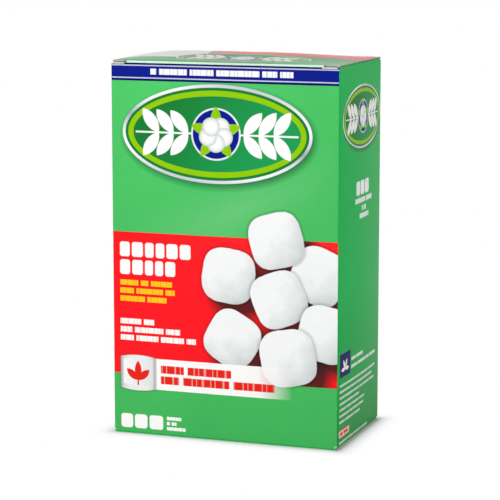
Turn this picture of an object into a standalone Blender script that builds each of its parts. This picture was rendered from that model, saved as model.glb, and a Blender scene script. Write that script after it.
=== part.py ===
"""Folding carton of cotton balls: one creased and glued sheet of paperboard with a tuck lid at each end.

Metres, +Z up. The origin is the centre of the base, and the front panel faces -Y. The top lid hinges on the
back panel and tucks in behind the front panel; the bottom lid hinges on the front panel and tucks in behind
the back panel. Every sheet is drawn as its outside surface, panel by panel and fold by fold, and the board's
thickness goes inwards from it.
"""

import math

import bmesh
import bpy
import numpy as np
from mathutils import Matrix, Vector

MM = 0.001

# Outside of the closed carton
WIDTH = 114.5 * MM
DEPTH = 69.0 * MM
HEIGHT = 182.0 * MM

# Paperboard and its folds
BOARD = 0.5 * MM  # thickness
FOLD_INSIDE = 0.5 * MM  # inside radius of a fold
CREASE_GAP = 0.3 * MM  # between a lid and the wall it hinges on, at mid thickness
EDGE_DROP = 0.5 * MM  # a wall's raw edge, in from the outside of the lid that tucks behind it
FOLD_STEPS = 4
CORNER_STEPS = 4
SAME_PLACE = 0.001 * MM  # points closer than this count as one place

# Glued seam at the back left corner
GLUE_FLAP = 13.0 * MM
GLUE_TAPER = 3.5 * MM  # each end of the glue flap's free edge is cut back by this
GLUE_LINE = 0.2 * MM
SEAM_EDGE = 0.3 * MM  # the left panel's raw edge, in from the outside of the back panel

# Lids
LID_GAP = 0.3 * MM  # between a lid and the dust flaps under it
LID_SIDE = 0.4 * MM  # a lid's side edge, in from the carton's side
TUCK = 15.0 * MM  # length of the tuck flap past its fold
TUCK_GAP = 0.3 * MM  # between the tuck flap's fold and the wall before it
TUCK_SIDE = 0.6 * MM  # between the tuck flap's side and the glue flap
TUCK_CORNER = 9.0 * MM
TUCK_SPARE = math.radians(1.0)  # lean past what the swing of the lid needs
SLIT = 7.5 * MM  # length of the slit at each end of the tuck fold
SLIT_WIDTH = 0.2 * MM
SLIT_HOLE = 1.0 * MM  # width of the relief where a slit ends

# Dust flaps, folded in from the side panels under both lids
DUST_FLAP = 40.0 * MM  # length, from the outside of the side panel
DUST_STRAIGHT = 14.0 * MM  # stretch at full width
DUST_TAPER = 6.0 * MM  # narrowing on each edge past that stretch
DUST_CORNER = 5.0 * MM
DUST_TUCK_GAP = 0.5 * MM  # from the path of the tuck flap

# Print on the front panel
FACING_FRONT = 0.99  # least part of a face's normal that points forwards
BLUE_BAND = 9.1 * MM  # down from the top
RED_TOP = 82.4 * MM  # down from the top
RED_BAND = 69.7 * MM

# Cotton balls, about an inch across before they are packed
BALL_COUNT = 130
BALL_PACKED = 22.0 * MM  # width that one takes up when packed
BALL_LAYER = 19.0 * MM  # height of a packed layer
BALL_GAP = 0.3 * MM
BALL_SQUARENESS = (2.5, 2.8, 3.1)  # exponents of the superellipsoids, 2 being an ellipsoid
BALL_CUTS = 2
BLOCK_VALLEY = 2.0 * MM  # depth of the grooves between the joined balls
MOST_SINGLE_BALLS = 56  # the rest are joined, lowest first

# Colours, as linear red, green and blue
GREEN = (0.067, 0.50, 0.115)
BLUE = (0.006, 0.017, 0.25)
RED = (0.93, 0.006, 0.018)
BARE_BOARD = (0.80, 0.79, 0.75)
COTTON = (0.92, 0.92, 0.91)

# Sizes that follow from those above
fold_radius = FOLD_INSIDE + BOARD
fold_middle = FOLD_INSIDE + BOARD / 2
crease_half = math.pi / 4 - CREASE_GAP / fold_middle / 2  # turn from a flat to its side of the crease
wall_low = BOARD + LID_GAP + fold_radius  # where the bottom dust flaps start to fold
wall_high = HEIGHT - wall_low
seam_side = -WIDTH / 2 + BOARD + GLUE_LINE  # outside of the glue flap
lid_half = WIDTH / 2 - LID_SIDE
tuck_reach = DEPTH - BOARD - TUCK_GAP  # from the hinge to the outside of the tuck fold
tuck_lean = math.asin(TUCK / (2 * tuck_reach)) + TUCK_SPARE  # in, so that the tip clears the wall
tuck_half = WIDTH / 2 - BOARD - GLUE_LINE - BOARD - TUCK_SIDE
tuck_depth = BOARD + TUCK_GAP + BOARD + TUCK * math.sin(tuck_lean)  # how far in the tip stands
flap_clear = DEPTH - tuck_reach * math.cos(tuck_lean) + BOARD + DUST_TUCK_GAP  # a dust flap's edge, in


def straight(bm, row, move):
    """Carries a row of edges along a straight move and returns the row at its end."""
    made = bmesh.ops.extrude_edge_only(bm, edges=row)["geom"]
    ends = {item for item in made if isinstance(item, bmesh.types.BMVert)}
    bmesh.ops.translate(bm, verts=list(ends), vec=move)
    return [item for item in made if isinstance(item, bmesh.types.BMEdge) and set(item.verts) <= ends]


def fold(bm, row, centre, axis, angle):
    """Carries a row of edges round a fold and returns the row at its end."""
    turn = Matrix.Rotation(angle / FOLD_STEPS, 3, axis)
    for _ in range(FOLD_STEPS):
        row = straight(bm, row, (0, 0, 0))
        bmesh.ops.rotate(bm, verts=list(verts_of(row)), cent=centre, matrix=turn)
    return row


def verts_of(row):
    return {vert for edge in row for vert in edge.verts}


def edges_at(bm, low, high):
    """Edges that lie wholly in the box from low to high."""

    def inside(vert):
        return all(a - SAME_PLACE <= c <= b + SAME_PLACE for a, c, b in zip(low, vert.co, high))

    return [edge for edge in bm.edges if all(inside(vert) for vert in edge.verts)]


def round_corners(bm, verts, radius):
    bmesh.ops.bevel(
        bm,
        geom=list(verts),
        offset=radius,
        segments=CORNER_STEPS,
        profile=0.5,
        affect="VERTICES",
    )


def face_outwards(bm, inside):
    """Turns the sheet's faces all one way, with the largest facing away from a point on its inner side."""
    bmesh.ops.recalc_face_normals(bm, faces=bm.faces)
    bm.normal_update()
    largest = max(bm.faces, key=lambda face: face.calc_area())
    if largest.normal.dot(largest.calc_center_median() - Vector(inside)) < 0:
        bmesh.ops.reverse_faces(bm, faces=bm.faces)
    bm.normal_update()


def mesh_from(bm, name):
    mesh = bpy.data.meshes.new(name)
    bm.to_mesh(mesh)
    bm.free()
    return mesh


def carton_walls(bm):
    """The tube, from the back panel clockwise to the raw edge of the left panel, and its glue flap."""
    right = WIDTH / 2
    back = DEPTH / 2
    flap_edge = back - flap_clear
    bands = (HEIGHT - RED_TOP - RED_BAND, HEIGHT - RED_TOP, HEIGHT - BLUE_BAND)
    heights = (wall_low, *bands, wall_high)
    start = seam_side + fold_radius
    verts = [bm.verts.new((start, back, z)) for z in heights]
    seam = [bm.edges.new(pair) for pair in zip(verts, verts[1:])]

    row = straight(bm, seam, (right - fold_radius - start, 0, 0))
    row = fold(bm, row, (right - fold_radius, back - fold_radius, 0), "Z", -math.pi / 2)
    for move in (flap_clear - fold_radius, 2 * flap_edge, flap_clear - fold_radius):
        row = straight(bm, row, (0, -move, 0))
    row = fold(bm, row, (right - fold_radius, -back + fold_radius, 0), "Z", -math.pi / 2)
    row = straight(bm, row, (-WIDTH + 2 * fold_radius, 0, 0))
    row = fold(bm, row, (-right + fold_radius, -back + fold_radius, 0), "Z", -math.pi / 2)
    for move in (flap_clear - fold_radius, 2 * flap_edge, flap_clear - SEAM_EDGE):
        row = straight(bm, row, (0, move, 0))

    row = fold(bm, seam, (start, back - fold_radius, 0), "Z", math.pi / 2)
    row = straight(bm, row, (0, -GLUE_FLAP, 0))
    ends = sorted(verts_of(row), key=lambda vert: vert.co.z)
    ends[0].co.z += GLUE_TAPER
    ends[-1].co.z -= GLUE_TAPER


def carton_ends(bm):
    """What each wall has past the tube: half of a lid's fold, or a raw edge that the lid tucks behind."""
    left = -WIDTH / 2
    right = WIDTH / 2 - fold_radius
    back = DEPTH / 2
    for z, out, lid_wall in ((wall_high, 1, back), (wall_low, -1, -back)):
        flat = HEIGHT - fold_radius if out > 0 else fold_radius
        row = edges_at(bm, (left, lid_wall, z), (right, lid_wall, z))
        row = straight(bm, row, (0, 0, flat - z))
        middle = lid_wall - out * fold_radius
        fold(bm, row, (0, middle, flat), "X", crease_half)
        raw = HEIGHT - EDGE_DROP if out > 0 else EDGE_DROP
        row = edges_at(bm, (left, -lid_wall, z), (right, -lid_wall, z))
        straight(bm, row, (0, 0, raw - z))


def dust_flap(bm, side, out):
    """One dust flap: side is 1 on the right and -1 on the left, out is 1 at the top and -1 at the bottom."""
    z = wall_high if out > 0 else wall_low
    edge = DEPTH / 2 - flap_clear
    x = side * WIDTH / 2
    row = edges_at(bm, (x, -edge, z), (x, edge, z))
    middle = x - side * fold_radius
    row = fold(bm, row, (middle, 0, z), "Y", -side * out * math.pi / 2)
    row = straight(bm, row, (-side * (DUST_STRAIGHT - fold_radius), 0, 0))
    row = straight(bm, row, (-side * (DUST_FLAP - DUST_STRAIGHT), 0, 0))
    ends = sorted(verts_of(row), key=lambda vert: vert.co.y)
    ends[0].co.y += DUST_TAPER
    ends[-1].co.y -= DUST_TAPER
    round_corners(bm, (ends[0], ends[-1]), DUST_CORNER)


def paint_bands(bm):
    """Gives the front panel's faces their band's material: 1 is blue and 2 is red."""
    for face in bm.faces:
        if -face.normal.y < FACING_FRONT:
            continue
        down = HEIGHT - face.calc_center_median().z
        if down < BLUE_BAND:
            face.material_index = 1
        elif RED_TOP < down < RED_TOP + RED_BAND:
            face.material_index = 2


def carton_mesh():
    bm = bmesh.new()
    carton_walls(bm)
    carton_ends(bm)
    for side in (1, -1):
        for out in (1, -1):
            dust_flap(bm, side, out)
    face_outwards(bm, (0, 0, HEIGHT / 2))
    paint_bands(bm)
    return mesh_from(bm, "carton")


def lid_mesh():
    """A lid in its hinge's frame: the hinge is the X axis, the panel runs to -Y and its outside faces +Z."""
    bm = bmesh.new()
    slit_end = lid_half - SLIT
    stations = (-lid_half, -slit_end - SLIT_HOLE, -slit_end, slit_end, slit_end + SLIT_HOLE, lid_half)
    verts = [bm.verts.new((x, -fold_radius, 0)) for x in stations]
    first = [bm.edges.new(pair) for pair in zip(verts, verts[1:])]
    fold(bm, first, (0, -fold_radius, -fold_radius), "X", -crease_half)
    front = -tuck_reach + fold_radius
    row = straight(bm, first, (0, front + fold_radius, 0))

    def between(low, high):
        return [edge for edge in row if low < (edge.verts[0].co.x + edge.verts[1].co.x) / 2 < high]

    half_fold = fold_middle * (math.pi / 2 + tuck_lean) / 2
    for ends in (between(slit_end + SLIT_HOLE, lid_half), between(-lid_half, -slit_end - SLIT_HOLE)):
        straight(bm, ends, (0, SLIT_WIDTH / 2 - half_fold, 0))

    top = fold(bm, between(-slit_end, slit_end), (0, front, -fold_radius), "X", math.pi / 2 + tuck_lean)
    tip = straight(bm, top, (0, TUCK * math.sin(tuck_lean), -TUCK * math.cos(tuck_lean)))
    tuck = tip[0].link_faces[0]
    faces = [tuck]
    corners = []
    for side in (1, -1):
        edge = max(tuck.edges, key=lambda edge: side * (edge.verts[0].co.x + edge.verts[1].co.x))
        outer = straight(bm, [edge], (side * (tuck_half - slit_end), 0, 0))
        corners.append(min(outer[0].verts, key=lambda vert: vert.co.z))
        faces.extend(outer[0].link_faces)
    bmesh.ops.dissolve_faces(bm, faces=faces)
    round_corners(bm, corners, TUCK_CORNER)
    face_outwards(bm, (0, -DEPTH / 2, -HEIGHT / 2))
    return mesh_from(bm, "lid")


def grid_box(cells):
    """A box from -1 to 1 whose sides are cut into as many cells as given for X, Y and Z."""
    bm = bmesh.new()
    bmesh.ops.create_cube(bm, size=2)
    for axis, count in enumerate(cells):
        along = [edge for edge in bm.edges if edge.verts[0].co[axis] * edge.verts[1].co[axis] < 0]
        bmesh.ops.subdivide_edges(bm, edges=along, cuts=count - 1, use_grid_fill=True)
    return bm


def shape_points(bm, name, shape):
    """Moves every point of a grid box by a function of an (n, 3) array, and returns the mesh."""
    mesh = mesh_from(bm, name)
    points = np.empty(len(mesh.vertices) * 3)
    mesh.vertices.foreach_get("co", points)
    mesh.vertices.foreach_set("co", shape(points.reshape(-1, 3)).ravel())
    mesh.update()
    return mesh


def ball_mesh(name, size, power):
    """A packed cotton ball: a superellipsoid that fills its cell but for the gap round it."""

    def puff(points):
        radius = (np.abs(points) ** power).sum(axis=1, keepdims=True) ** (1 / power)
        rounded = points / radius
        return rounded / np.abs(rounded).max(axis=0) * np.array(size) / 2

    return shape_points(grid_box([BALL_CUTS + 1] * 3), name, puff)


def block_mesh(name, size, cells):
    """Balls that lie too low to be seen, as one form: a box with a crown for each ball on its outside."""

    def quilt(points):
        crown = np.abs(np.sin(math.pi * np.array(cells) * (points + 1) / 2))
        drop = np.empty_like(points)
        for axis in range(3):
            others = [other for other in range(3) if other != axis]
            drop[:, axis] = 1 - crown[:, others].min(axis=1)
        outside = np.isclose(np.abs(points), 1)
        return points * np.array(size) / 2 - np.where(outside, np.sign(points) * drop * BLOCK_VALLEY, 0)

    return shape_points(grid_box([2 * count for count in cells]), name, quilt)


def ball_plan():
    """The packed balls' cell, the single ones' centres, and the joined block's middle, size and cells."""
    low = np.array([seam_side + BOARD, -DEPTH / 2 + tuck_depth, wall_low - FOLD_INSIDE + BALL_GAP / 2])
    high = np.array([WIDTH / 2 - BOARD, DEPTH / 2 - tuck_depth, wall_high + FOLD_INSIDE])
    space = high - low
    columns, rows = (max(1, round(length / BALL_PACKED)) for length in space[:2])
    cell = np.array([space[0] / columns, space[1] / rows, BALL_LAYER])
    per_layer = columns * rows
    count = min(BALL_COUNT, per_layer * int(space[2] / BALL_LAYER))
    layers, loose = divmod(count, per_layer)
    joined = max(0, layers - (MOST_SINGLE_BALLS - loose) // per_layer)
    centres = []
    for number in range(joined * per_layer, count):
        layer, place = divmod(number, per_layer)
        row, column = divmod(place, columns)
        from_back = np.array([column + 0.5, rows - row - 0.5, layer + 0.5])
        centres.append(low + from_back * cell)
    cells = (columns, rows, joined)
    block_size = np.array(cells) * cell
    return cell, centres, low + block_size / 2, block_size, cells


def material(name, colour, roughness):
    made = bpy.data.materials.new(name)
    made.use_nodes = True
    shader = made.node_tree.nodes["Principled BSDF"]
    shader.inputs["Base Color"].default_value = (*colour, 1)
    shader.inputs["Roughness"].default_value = roughness
    shader.inputs["Metallic"].default_value = 0
    return made


def place(collection, name, mesh, location=(0, 0, 0), turn=0.0):
    """Adds an object whose origin is at location, turned about X."""
    made = bpy.data.objects.new(name, mesh)
    made.location = location
    made.rotation_euler = (turn, 0, 0)
    collection.objects.link(made)
    return made


def give_thickness(sheet, bare):
    """Gives a sheet its thickness, inwards, with the bare board's slot on the inside and the cut edges."""
    wall = sheet.modifiers.new("board", "SOLIDIFY")
    wall.thickness = BOARD
    wall.offset = -1
    wall.use_even_offset = True
    wall.use_quality_normals = True
    wall.material_offset = bare
    wall.material_offset_rim = bare


def main():
    for old in list(bpy.data.objects):
        bpy.data.objects.remove(old)
    collection = bpy.data.collections.new("cotton_ball_carton")
    bpy.context.scene.collection.children.link(collection)

    green = material("green print", GREEN, 0.35)
    bare = material("bare board", BARE_BOARD, 0.8)
    cotton = material("cotton", COTTON, 0.95)
    prints = [green, material("blue print", BLUE, 0.35), material("red print", RED, 0.35), bare]

    carton = place(collection, "carton", carton_mesh())
    for paint in prints:
        carton.data.materials.append(paint)
    give_thickness(carton, len(prints) - 1)

    lid = lid_mesh()
    lid.materials.append(green)
    lid.materials.append(bare)
    lids = (
        place(collection, "top_lid", lid, (0, DEPTH / 2, HEIGHT)),
        place(collection, "bottom_lid", lid, (0, -DEPTH / 2, 0), math.pi),
    )
    for each in lids:
        give_thickness(each, 1)

    cell, centres, block_middle, block_size, block_cells = ball_plan()
    puffs = [ball_mesh(f"puff_{n}", cell - BALL_GAP, power) for n, power in enumerate(BALL_SQUARENESS)]
    for puff in puffs:
        puff.materials.append(cotton)
    for number, centre in enumerate(centres):
        place(collection, f"cotton_ball_{number + 1:02d}", puffs[number % len(puffs)], centre)
    if block_cells[2]:
        block = block_mesh("joined_balls", block_size - BALL_GAP, block_cells)
        block.materials.append(cotton)
        place(collection, "lower_cotton_balls", block, block_middle)


main()
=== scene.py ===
# Folding carton of cotton balls: its looks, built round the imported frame
import math
from functools import partialmethod

import bmesh
import bpy
import numpy as np
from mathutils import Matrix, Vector


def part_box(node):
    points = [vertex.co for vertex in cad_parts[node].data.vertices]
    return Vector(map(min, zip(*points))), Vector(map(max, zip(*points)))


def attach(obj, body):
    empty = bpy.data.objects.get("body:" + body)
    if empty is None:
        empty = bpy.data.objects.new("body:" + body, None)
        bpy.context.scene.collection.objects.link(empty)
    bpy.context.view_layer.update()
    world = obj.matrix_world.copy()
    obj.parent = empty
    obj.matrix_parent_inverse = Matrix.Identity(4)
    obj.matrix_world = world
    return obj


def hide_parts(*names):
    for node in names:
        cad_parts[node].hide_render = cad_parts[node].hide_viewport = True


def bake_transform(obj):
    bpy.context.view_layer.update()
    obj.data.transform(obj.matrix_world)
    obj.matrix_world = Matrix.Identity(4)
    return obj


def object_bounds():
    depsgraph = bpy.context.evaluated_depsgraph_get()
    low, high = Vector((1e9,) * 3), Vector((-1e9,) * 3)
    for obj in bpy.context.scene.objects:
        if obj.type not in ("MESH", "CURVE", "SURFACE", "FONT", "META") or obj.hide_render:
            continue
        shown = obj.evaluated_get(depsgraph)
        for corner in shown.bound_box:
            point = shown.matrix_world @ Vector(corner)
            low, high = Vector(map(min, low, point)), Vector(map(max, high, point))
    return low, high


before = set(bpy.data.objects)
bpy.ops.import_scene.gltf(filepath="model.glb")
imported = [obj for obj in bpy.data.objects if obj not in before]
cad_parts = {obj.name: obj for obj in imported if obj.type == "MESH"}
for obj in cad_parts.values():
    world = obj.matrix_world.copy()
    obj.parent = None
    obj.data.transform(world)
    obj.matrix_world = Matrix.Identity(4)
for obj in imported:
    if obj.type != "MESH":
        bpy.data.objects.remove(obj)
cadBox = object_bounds()
print("frame loaded")

mm = 0.001
width, depth, height = (high - low for low, high in zip(*cadBox))
right, back = width / 2, depth / 2

# The board and its folds, as they are cut in the frame
board = {
    "thickness": 0.5 * mm,
    "foldRadius": 1.0 * mm,  # outside of a fold
    "edgeDrop": 0.5 * mm,  # a raw edge, in from the lid that tucks behind it
    "frontDrop": 0.95 * mm,  # the same at the top of the front panel
    "lidGap": 0.06 * mm,  # between a lid and the dust flaps under it
    "glueFlap": 13.0 * mm,
    "glueTaper": 3.5 * mm,
    "glueLine": 0.2 * mm,
    "seamEdge": 0.3 * mm,  # the left panel's raw edge, in from the outside of the back panel
    "arcCells": 8,
    "panelCells": 36,
    "heightCells": 60,
}
radius = board["foldRadius"]
quarter = math.pi / 2 * radius  # print that goes round a quarter fold
wallLow = board["thickness"] + board["lidGap"] + radius
wallHigh = height - wallLow
seamSide = -right + board["thickness"] + board["glueLine"]


# Numpy surfaces

def evenly(start, end, cells):
    # Stations from start to end, closer together near both ends: half a cosine wave
    t = np.linspace(0, math.pi, cells + 1)
    return start + (end - start) * (1 - np.cos(t)) / 2


def joinStations(*runs):
    # Several rising runs of stations as one, with each shared end kept once
    return np.unique(np.round(np.concatenate(runs), 9))


def crown(t, power=2):
    # 0 at both ends of 0 to 1 and 1 in the middle: one less the power of the distance from the middle
    return 1 - np.abs(2 * t - 1) ** power


def ripple(points, length, seed, count=10):
    # A smooth random wave between about -1 and 1: the mean of sines that run in random directions
    draw = np.random.default_rng(seed)
    ways = draw.normal(size=(count, 3))
    ways *= (2 * math.pi / length * draw.uniform(0.6, 1.5, count) / np.linalg.norm(ways, axis=1))[:, None]
    return np.sin(points @ ways.T + draw.uniform(0, 2 * math.pi, count)).sum(axis=-1) / math.sqrt(count)


def meshFrom(name, patches):
    # One mesh from grids of points, welded where they meet. Seen from outside, each grid's rows run to the
    # left and its columns upwards. A patch is its points (n, m, 3), blank coordinates (n, m, 2) and slots
    points, blanks, faces, slots = [], [], [], []
    start = 0
    for grid, blank, slot in patches:
        rows, columns = grid.shape[:2]
        number = start + np.arange(rows * columns).reshape(rows, columns)
        corners = (number[:-1, :-1], number[:-1, 1:], number[1:, 1:], number[1:, :-1])
        faces.append(np.stack(corners, axis=-1).reshape(-1, 4))
        slots.append(np.broadcast_to(slot, (rows - 1, columns - 1)).ravel())
        points.append(grid.reshape(-1, 3))
        blanks.append(blank.reshape(-1, 2))
        start += rows * columns
    points, blanks, faces, slots = (np.concatenate(part) for part in (points, blanks, faces, slots))
    mesh = bpy.data.meshes.new(name)
    mesh.from_pydata(points.tolist(), [], faces.tolist())
    flat = blanks[faces.ravel()].ravel().astype(np.float32)
    mesh.uv_layers.new(name="blank").data.foreach_set("uv", flat)
    mesh.polygons.foreach_set("material_index", slots.astype(np.int32))
    bm = bmesh.new()
    bm.from_mesh(mesh)
    bmesh.ops.remove_doubles(bm, verts=bm.verts, dist=0.004 * mm)
    bm.to_mesh(mesh)
    bm.free()
    mesh.polygons.foreach_set("use_smooth", np.ones(len(mesh.polygons), bool))
    return mesh


def addPiece(name, mesh, materials):
    piece = bpy.data.objects.new(name, mesh)
    bpy.context.scene.collection.objects.link(piece)
    for paint in materials:
        mesh.materials.append(paint)
    return piece


def addSheet(name, patches, materials):
    # A printed sheet, thickened inwards. The last material is the bare board of the inside and the cut edges
    sheet = addPiece(name, meshFrom(name, patches), materials)
    wall = sheet.modifiers.new("board", "SOLIDIFY")
    wall.thickness = board["thickness"]
    wall.offset = -1
    wall.use_even_offset = True
    wall.material_offset = wall.material_offset_rim = len(materials) - 1
    bpy.context.view_layer.update()
    solid = bpy.data.meshes.new_from_object(sheet.evaluated_get(bpy.context.evaluated_depsgraph_get()))
    solid.set_sharp_from_angle(angle=math.radians(50))
    sheet.modifiers.clear()
    sheet.data = solid
    return sheet


# Shader maths

class Wire:
    # The output of a shader node, which Python's operators work on
    def __init__(self, socket):
        self.socket = socket

    def make(self, kind, settings=None, inputs=None, output=0):
        return makeNode(self.socket.id_data, kind, settings, inputs, output)

    def sums(self, operation, *values, clamp=False):
        settings = {"operation": operation, "use_clamp": clamp}
        return self.make("ShaderNodeMath", settings, dict(enumerate((self, *values))))

    __add__ = __radd__ = partialmethod(sums, "ADD")
    __sub__ = partialmethod(sums, "SUBTRACT")
    __mul__ = partialmethod(sums, "MULTIPLY")
    __truediv__ = partialmethod(sums, "DIVIDE")
    __pow__ = partialmethod(sums, "POWER")
    __abs__ = partialmethod(sums, "ABSOLUTE")
    atLeast = partialmethod(sums, "MAXIMUM")
    atMost = partialmethod(sums, "MINIMUM")

    def __rsub__(self, other):
        return self.make("ShaderNodeMath", {"operation": "SUBTRACT"}, {0: other, 1: self})

    def clamped(self):
        return self.sums("ADD", 0, clamp=True)

    def output(self, name):
        return Wire(self.socket.node.outputs[name])


def makeNode(tree, kind, settings=None, inputs=None, output=0):
    # Any node: its settings first, then the values or links of its sockets
    node = tree.nodes.new(kind)
    for key, value in (settings or {}).items():
        setattr(node, key, value)
    for key, value in (inputs or {}).items():
        if isinstance(value, Wire):
            tree.links.new(value.socket, node.inputs[key])
        else:
            node.inputs[key].default_value = value
    return Wire(node.outputs[output]) if len(node.outputs) else node


def newMaterial(name):
    made = bpy.data.materials.new(name)
    made.use_nodes = True
    made.node_tree.nodes.clear()
    return made, made.node_tree


def finishMaterial(tree, inputs):
    # The Principled shader, with its even values set on the sockets, and the material's output
    shader = makeNode(tree, "ShaderNodeBsdfPrincipled", {}, inputs, "BSDF")
    makeNode(tree, "ShaderNodeOutputMaterial", {}, {"Surface": shader})


def designGroup(name, painter):
    # A node group that lays one design over a colour. It is built once and can be printed in several places
    group = bpy.data.node_groups.new(name, "ShaderNodeTree")
    for label, kind in (("Colour", "Color"), ("X", "Float"), ("Z", "Float"), ("Place", "Vector")):
        group.interface.new_socket(name=label, in_out="INPUT", socket_type="NodeSocket" + kind)
    group.interface.new_socket(name="Colour", in_out="OUTPUT", socket_type="NodeSocketColor")
    entry = makeNode(group, "NodeGroupInput")
    painted = painter(*(entry.output(label) for label in ("Colour", "X", "Z", "Place")))
    makeNode(group, "NodeGroupOutput", {}, {"Colour": painted})
    return group


def asColour(value):
    return value if isinstance(value, Wire) else (*value, 1)


def printed(group, colour, x, z, place):
    inputs = {"Colour": asColour(colour), "X": x, "Z": z, "Place": place}
    return x.make("ShaderNodeGroup", {"node_tree": group}, inputs)


def noise(place, scale, detail=2.0, roughness=0.5):
    # Smooth noise round 0.5
    inputs = {"Vector": place, "Scale": scale, "Detail": detail, "Roughness": roughness}
    return place.make("ShaderNodeTexNoise", {"noise_dimensions": "3D"}, inputs, 0)


def bumps(fine, strength, distance):
    inputs = {"Height": fine, "Strength": strength, "Distance": distance}
    return fine.make("ShaderNodeBump", {}, inputs, "Normal")


def paintOver(under, colour, mask):
    # A colour laid over what is there, as far as the mask says
    inputs = {0: mask, 6: asColour(under), 7: asColour(colour)}
    return mask.make("ShaderNodeMix", {"data_type": "RGBA"}, inputs, 2)


def shaded(colour, factor):
    # A colour made lighter or darker by a factor, which is turned into a grey first
    grey = factor.make("ShaderNodeCombineColor", {}, {0: factor, 1: factor, 2: factor})
    settings = {"data_type": "RGBA", "blend_type": "MULTIPLY"}
    return factor.make("ShaderNodeMix", settings, {0: 1.0, 6: colour, 7: grey}, 2)


# The tube's profile: straight runs joined by quarter folds

def tubeLegs():
    # Walks round the carton clockwise, seen from above. Each leg is a straight run, with a quarter turn to
    # the right after it
    runs = (
        ("glue", board["glueFlap"]),
        ("back", right - seamSide - 2 * radius),
        ("side", depth - 2 * radius),
        ("front", width - 2 * radius),
        ("left", depth - radius - board["seamEdge"]),
    )
    start = np.array([seamSide, back - radius - board["glueFlap"]])
    heading = math.pi / 2
    walked = 0.0
    found = {}
    for name, length in runs:
        along = np.array([math.cos(heading), math.sin(heading)])
        out = np.array([-along[1], along[0]])
        found[name] = {"start": start, "along": along, "out": out, "length": length, "walked": walked}
        start = start + along * length + (along - out) * radius
        walked += length + quarter
        heading -= math.pi / 2
    return found, walked - quarter


legs, blankWidth = tubeLegs()


def panelLeft(leg):
    # The blank's coordinate at a panel's left edge, seen from outside
    return blankWidth - legs[leg]["walked"] - legs[leg]["length"] - radius


# Shapes for the print, in millimetres, x to the right and z up. Each gives the distance past its edge

def boxShape(x, z, middle, size, corner=0.0):
    # A rounded box: the length of what is past the corner's centre on each axis, less the corner's radius
    acrossX = abs(x - middle[0]) - (size[0] / 2 - corner)
    acrossZ = abs(z - middle[1]) - (size[1] / 2 - corner)
    if corner == 0:
        return acrossX.atLeast(acrossZ)
    outX, outZ = acrossX.atLeast(0), acrossZ.atLeast(0)
    return (outX * outX + outZ * outZ) ** 0.5 - corner


def bandShape(z, low, high):
    # A level band: the distance from its middle less half its width
    return abs(z - (low + high) / 2) - (high - low) / 2


def ovalShape(x, z, middle, size):
    # An oval: k times k less 1, over the slope of k squared, where k is the scaled distance from the middle
    u, w = (x - middle[0]) / (size[0] / 2), (z - middle[1]) / (size[1] / 2)
    slopeX, slopeZ = u / (size[0] / 2), w / (size[1] / 2)
    k = (u * u + w * w) ** 0.5
    return k * (k - 1) / (slopeX * slopeX + slopeZ * slopeZ) ** 0.5


def circleShape(x, z, middle, size):
    # A circle: the distance from its middle less its radius
    u, w = x - middle[0], z - middle[1]
    return (u * u + w * w) ** 0.5 - size / 2


def turned(x, z, middle, degrees):
    # Coordinates round a middle, turned so that a shape drawn upright there leans to the right by the angle
    c, s = math.cos(math.radians(degrees)), math.sin(math.radians(degrees))
    u, w = x - middle[0], z - middle[1]
    return u * c - w * s, u * s + w * c


def leafShape(x, z, foot, long, wide, degrees):
    # A pointed leaf from its foot: where two circles overlap
    u, w = turned(x, z, foot, degrees)
    rim = (long * long / 4 + wide * wide / 4) / wide
    w = w - long / 2
    u = abs(u) + (rim - wide / 2)
    return (u * u + w * w) ** 0.5 - rim


def filled(distance, soft=0.14):
    # 1 inside a shape and 0 outside, over an edge as wide as soft
    return (0.5 - distance / soft).clamped()


def wordRows(x, z, left, top, rows, pitch, tall):
    # Rows of plain bars in place of words. A wavering sine wave makes them a little paler at short steps
    down = (top - z) / pitch
    line = down.sums("FLOOR")
    inRow = filled(abs((down - line) * pitch - tall / 2) - tall / 2)
    shown = None
    for number, words in enumerate(rows):
        start, nearest = left, None
        for word in words:
            past = abs(x - (start + word / 2)) - word / 2
            nearest = past if nearest is None else nearest.atMost(past)
            start += word + tall * 0.5
        row = filled(nearest) * line.sums("COMPARE", number, 0.5)
        shown = row if shown is None else shown + row
    phase = x / tall * 7.5 + line * 2.1
    letters = ((phase + (phase * 0.37).sums("SINE") * 1.4).sums("SINE") * 2.2 + 2.5).clamped()
    return shown * inRow * (letters * 0.55 + 0.45)


# Printed board

inks = {
    "green": (0.062, 0.475, 0.115),
    # A darker and a lighter copy of the green: painted shade towards the bottom, and painted light that also
    # carries the printed dots; then a pale green for a painted sheen
    "paintedShadeGreen": (0.055, 0.42, 0.10),
    "brightGreen": (0.082, 0.57, 0.140),
    "paintedSheenGreen": (0.130, 0.54, 0.180),
    "sideGreen": (0.003, 0.47, 0.085),
    # A darker copy of the side green: painted shade towards the bottom of the side panel, and the darker
    # green near the lid's hinge
    "lowSideGreen": (0.001, 0.31, 0.045),
    "blue": (0.004, 0.013, 0.24),
    "navy": (0.004, 0.006, 0.07),
    "tileNavy": (0.003, 0.004, 0.13),
    "silver": (0.62, 0.60, 0.74),
    "red": (0.95, 0.012, 0.018),
    # For a painted sheen on the red band
    "orangeRed": (0.95, 0.030, 0.030),
    "white": (0.92, 0.905, 0.89),
    "darkGreen": (0.010, 0.20, 0.032),
    "midGreen": (0.014, 0.32, 0.085),
    "lime": (0.27, 0.56, 0.004),
    "yellow": (0.93, 0.56, 0.015),
    "rust": (0.78, 0.020, 0.012),
    "pink": (0.88, 0.80, 0.78),
    # The pale tuck fold: stretched ink with a painted highlight
    "mint": (0.70, 0.95, 0.78),
    "plainGreen": (0.035, 0.45, 0.10),
    "shadow": (0.035, 0.016, 0.016),
    "bare": (0.80, 0.79, 0.75),
    "pulp": (0.52, 0.47, 0.40),
    "darkPulp": (0.42, 0.39, 0.34),
}
varnish = {"Specular IOR Level": 0.015}


def inked(colour, ink, distance, strength=1.0, soft=0.14):
    # A shape printed in one ink
    mask = filled(distance, soft)
    return paintOver(colour, inks[ink], mask if strength == 1 else mask * strength)


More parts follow.
